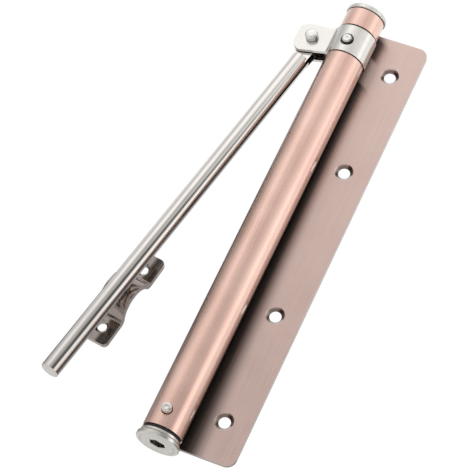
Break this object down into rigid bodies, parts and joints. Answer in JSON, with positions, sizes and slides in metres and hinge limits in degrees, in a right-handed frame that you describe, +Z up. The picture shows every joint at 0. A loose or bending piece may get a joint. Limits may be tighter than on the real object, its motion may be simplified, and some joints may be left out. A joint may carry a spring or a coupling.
{
  "type": "spring door closer",
  "caption": "Torsion-spring door closer: upright barrel welded to a screw-on plate, swinging clevis ring with a hinged rod, and a loose guide bracket.",
  "frame": {"origin": "on the flat back of the mounting plate, on the line of screw holes, half way up the plate", "axes": "+Z up along the barrel, +Y into the wall or door frame, -Y out of it, +X across the plate away from the barrel"},
  "size_m": [0.1017, 0.0264, 0.2597],
  "materials": {
    "copper_steel": "brushed antique copper plate under clear lacquer",
    "satin_nickel": "satin nickel plate",
    "bright_nickel": "bright nickel plate",
    "pin_steel": "plain steel, lightly polished",
    "core_steel": "machined, oiled",
    "spring_steel": "oil-tempered wire",
    "weld": "weld bead under the plating",
    "black_nylon": "matt",
    "pale_nylon": "matt"
  },
  "bodies": {
    "closer_body": {"mounting_plate": "copper_steel", "spring_barrel": "copper_steel", "upper_tube": "copper_steel", "barrel_weld_1": "weld", "barrel_weld_2": "weld", "barrel_weld_3": "weld", "upper_tube_weld": "weld", "top_cap": "satin_nickel", "plug_seal": "black_nylon", "lower_bush": "pale_nylon", "upper_bush": "pale_nylon", "ring_washer": "black_nylon"},
    "ring": {"clevis_ring": "satin_nickel", "ear_rivet": "pin_steel", "drive_core": "core_steel", "torsion_spring": "spring_steel"},
    "arm": {"arm_rod": "bright_nickel"},
    "drive_pin_body": {"drive_pin": "pin_steel"},
    "lock_pin_body": {"lock_pin": "pin_steel"},
    "plug": {"tension_plug": "satin_nickel"},
    "bracket": {"guide_bracket": "bright_nickel"}
  },
  "joints": [
    {"name": "ring_swing", "type": "hinge", "parent": "closer_body", "child": "ring", "pos_m": [-0.0215, -0.0135, 0.105], "axis": [0, 0, 1], "range_deg": [0, 115], "stiffness_Nm_per_rad": 0.5, "springref_deg": -85.94},
    {"name": "arm_fold", "type": "hinge", "parent": "ring", "child": "arm", "pos_m": [-0.04162, -0.01174, 0.1038], "axis": [0.0872, 0.9962, 0], "range_deg": [-10, 160]},
    {"name": "drive_pin_slide", "type": "slide", "parent": "ring", "child": "drive_pin_body", "axis": [-0.0872, -0.9962, 0], "range_m": [0, 0.0088]},
    {"name": "lock_pin_slide", "type": "slide", "parent": "closer_body", "child": "lock_pin_body", "axis": [0, -1, 0], "range_m": [-0.0025, 0.007]},
    {"name": "tension_turn", "type": "hinge", "parent": "closer_body", "child": "plug", "pos_m": [-0.0215, -0.0135, -0.127], "axis": [0, 0, 1], "range_deg": [0, 360]},
    {"name": "bracket_place", "type": "slide", "parent": "closer_body", "child": "bracket", "axis": [-1, 0, 0], "range_m": [0, 0.1]}
  ]
}
